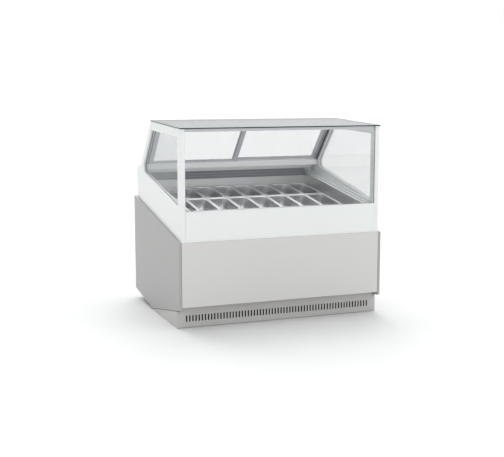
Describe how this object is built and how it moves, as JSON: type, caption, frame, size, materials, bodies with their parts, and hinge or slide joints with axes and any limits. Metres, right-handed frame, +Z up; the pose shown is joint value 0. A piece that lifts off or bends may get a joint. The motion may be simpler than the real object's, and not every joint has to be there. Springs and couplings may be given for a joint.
{
  "type": "ice cream dipping cabinet",
  "caption": "Free-standing ice cream display cabinet: glazed top over rows of lift-out pans on a sloping deck, sliding rear doors, slotted plinth.",
  "frame": {"origin": "on the floor under the middle of the cabinet's overall box", "axes": "+Z up, +X to the right as the customer sees it, +Y from the customer's side to the server's side"},
  "size_m": [1.56, 1.215, 1.433],
  "materials": {
    "stainless": "brushed stainless steel",
    "grey_board": "warm light grey laminate, satin",
    "plinth_grey": "mid grey powder coat",
    "white_enamel": "white enamel, semi-gloss",
    "white_moulding": "white, semi-gloss",
    "clear_glass": "clear toughened glass with green edges",
    "door_glass": "clear glass",
    "door_aluminium": "satin anodised",
    "diffuser": "opal",
    "louvre_plastic": "dark blue-grey",
    "foam": "polyurethane foam",
    "frame_steel": "zinc-plated steel",
    "black_enamel": "black enamel",
    "fin_aluminium": "bare fins",
    "black_plastic": "black, fine texture",
    "copper": "copper tube",
    "grey_plastic": "grey",
    "screw_steel": "zinc plated"
  },
  "bodies": {
    "cabinet": {"base_frame": "frame_steel", "cable_gland": "black_plastic", "compressor": "black_enamel", "condenser": "fin_aluminium", "condenser_fan_motor": "black_enamel", "control_panel": "black_plastic", "deck_frame": "stainless", "evaporator": "fin_aluminium", "evaporator_fan_plate": "frame_steel", "feet": "frame_steel", "front_apron": "white_enamel", "front_deck": "stainless", "front_glass": "clear_glass", "front_panel": "grey_board", "insulation": "foam", "lamp_diffuser": "diffuser", "lamp_profile": "door_aluminium", "panel_screws": "screw_steel", "plinth_front": "plinth_grey", "plinth_returns": "plinth_grey", "rear_panel": "grey_board", "rear_sill": "white_moulding", "rear_upper_panel": "white_enamel", "refrigerant_pipes": "copper", "return_grille": "louvre_plastic", "rim_trims": "white_moulding", "service_grille": "plinth_grey", "side_frame_left": "white_moulding", "side_frame_right": "white_moulding", "side_glasses": "clear_glass", "side_panel_left": "grey_board", "side_panel_right": "grey_board", "top_glass": "clear_glass", "top_rear_beam": "white_moulding", "well_liner": "stainless"},
    "pan_front_1": {"pan_front_1": "stainless"},
    "pan_front_2": {"pan_front_2": "stainless"},
    "pan_front_3": {"pan_front_3": "stainless"},
    "pan_front_4": {"pan_front_4": "stainless"},
    "pan_front_5": {"pan_front_5": "stainless"},
    "pan_front_6": {"pan_front_6": "stainless"},
    "pan_front_7": {"pan_front_7": "stainless"},
    "pan_front_8": {"pan_front_8": "stainless"},
    "pan_rear_1": {"pan_rear_1": "stainless"},
    "pan_rear_2": {"pan_rear_2": "stainless"},
    "pan_rear_3": {"pan_rear_3": "stainless"},
    "pan_rear_4": {"pan_rear_4": "stainless"},
    "pan_rear_5": {"pan_rear_5": "stainless"},
    "pan_rear_6": {"pan_rear_6": "stainless"},
    "pan_rear_7": {"pan_rear_7": "stainless"},
    "pan_rear_8": {"pan_rear_8": "stainless"},
    "door_left": {"door_left_frame": "door_aluminium", "door_left_glass": "door_glass"},
    "door_right": {"door_right_frame": "door_aluminium", "door_right_glass": "door_glass"},
    "condenser_fan_wheel": {"condenser_fan": "black_plastic"},
    "evaporator_fan_wheel": {"evaporator_fan": "black_plastic"},
    "power_rocker": {"power_switch": "black_plastic"},
    "lamp_rocker": {"lamp_switch": "black_plastic"},
    "drawer": {"condensate_drawer": "grey_plastic"}
  },
  "joints": [
    {"name": "pan_front_1_lift", "type": "slide", "parent": "cabinet", "child": "pan_front_1", "axis": [0, -0.1392, 0.9903], "range_m": [0, 0.12]},
    {"name": "pan_front_2_lift", "type": "slide", "parent": "cabinet", "child": "pan_front_2", "axis": [0, -0.1392, 0.9903], "range_m": [0, 0.12]},
    {"name": "pan_front_3_lift", "type": "slide", "parent": "cabinet", "child": "pan_front_3", "axis": [0, -0.1392, 0.9903], "range_m": [0, 0.12]},
    {"name": "pan_front_4_lift", "type": "slide", "parent": "cabinet", "child": "pan_front_4", "axis": [0, -0.1392, 0.9903], "range_m": [0, 0.12]},
    {"name": "pan_front_5_lift", "type": "slide", "parent": "cabinet", "child": "pan_front_5", "axis": [0, -0.1392, 0.9903], "range_m": [0, 0.12]},
    {"name": "pan_front_6_lift", "type": "slide", "parent": "cabinet", "child": "pan_front_6", "axis": [0, -0.1392, 0.9903], "range_m": [0, 0.12]},
    {"name": "pan_front_7_lift", "type": "slide", "parent": "cabinet", "child": "pan_front_7", "axis": [0, -0.1392, 0.9903], "range_m": [0, 0.12]},
    {"name": "pan_front_8_lift", "type": "slide", "parent": "cabinet", "child": "pan_front_8", "axis": [0, -0.1392, 0.9903], "range_m": [0, 0.12]},
    {"name": "pan_rear_1_lift", "type": "slide", "parent": "cabinet", "child": "pan_rear_1", "axis": [0, -0.1392, 0.9903], "range_m": [0, 0.12]},
    {"name": "pan_rear_2_lift", "type": "slide", "parent": "cabinet", "child": "pan_rear_2", "axis": [0, -0.1392, 0.9903], "range_m": [0, 0.12]},
    {"name": "pan_rear_3_lift", "type": "slide", "parent": "cabinet", "child": "pan_rear_3", "axis": [0, -0.1392, 0.9903], "range_m": [0, 0.12]},
    {"name": "pan_rear_4_lift", "type": "slide", "parent": "cabinet", "child": "pan_rear_4", "axis": [0, -0.1392, 0.9903], "range_m": [0, 0.12]},
    {"name": "pan_rear_5_lift", "type": "slide", "parent": "cabinet", "child": "pan_rear_5", "axis": [0, -0.1392, 0.9903], "range_m": [0, 0.12]},
    {"name": "pan_rear_6_lift", "type": "slide", "parent": "cabinet", "child": "pan_rear_6", "axis": [0, -0.1392, 0.9903], "range_m": [0, 0.12]},
    {"name": "pan_rear_7_lift", "type": "slide", "parent": "cabinet", "child": "pan_rear_7", "axis": [0, -0.1392, 0.9903], "range_m": [0, 0.12]},
    {"name": "pan_rear_8_lift", "type": "slide", "parent": "cabinet", "child": "pan_rear_8", "axis": [0, -0.1392, 0.9903], "range_m": [0, 0.12]},
    {"name": "door_left_slide", "type": "slide", "parent": "cabinet", "child": "door_left", "axis": [1, 0, 0], "range_m": [0, 0.7]},
    {"name": "door_right_slide", "type": "slide", "parent": "cabinet", "child": "door_right", "axis": [-1, 0, 0], "range_m": [0, 0.7]},
    {"name": "condenser_fan_spin", "type": "hinge", "parent": "cabinet", "child": "condenser_fan_wheel", "pos_m": [0.25, -0.2355, 0.252], "axis": [0, 1, 0], "continuous": true},
    {"name": "evaporator_fan_spin", "type": "hinge", "parent": "cabinet", "child": "evaporator_fan_wheel", "pos_m": [0, 0.2525, 0.572], "axis": [0, 1, 0], "continuous": true},
    {"name": "power_rocker_tip", "type": "hinge", "parent": "cabinet", "child": "power_rocker", "pos_m": [0.572, 0.5755, 0.905], "axis": [1, 0, 0], "range_deg": [0, 18]},
    {"name": "lamp_rocker_tip", "type": "hinge", "parent": "cabinet", "child": "lamp_rocker", "pos_m": [0.6, 0.5755, 0.905], "axis": [1, 0, 0], "range_deg": [0, 18]},
    {"name": "drawer_slide", "type": "slide", "parent": "cabinet", "child": "drawer", "axis": [0, 1, 0], "range_m": [0, 0.25]}
  ]
}
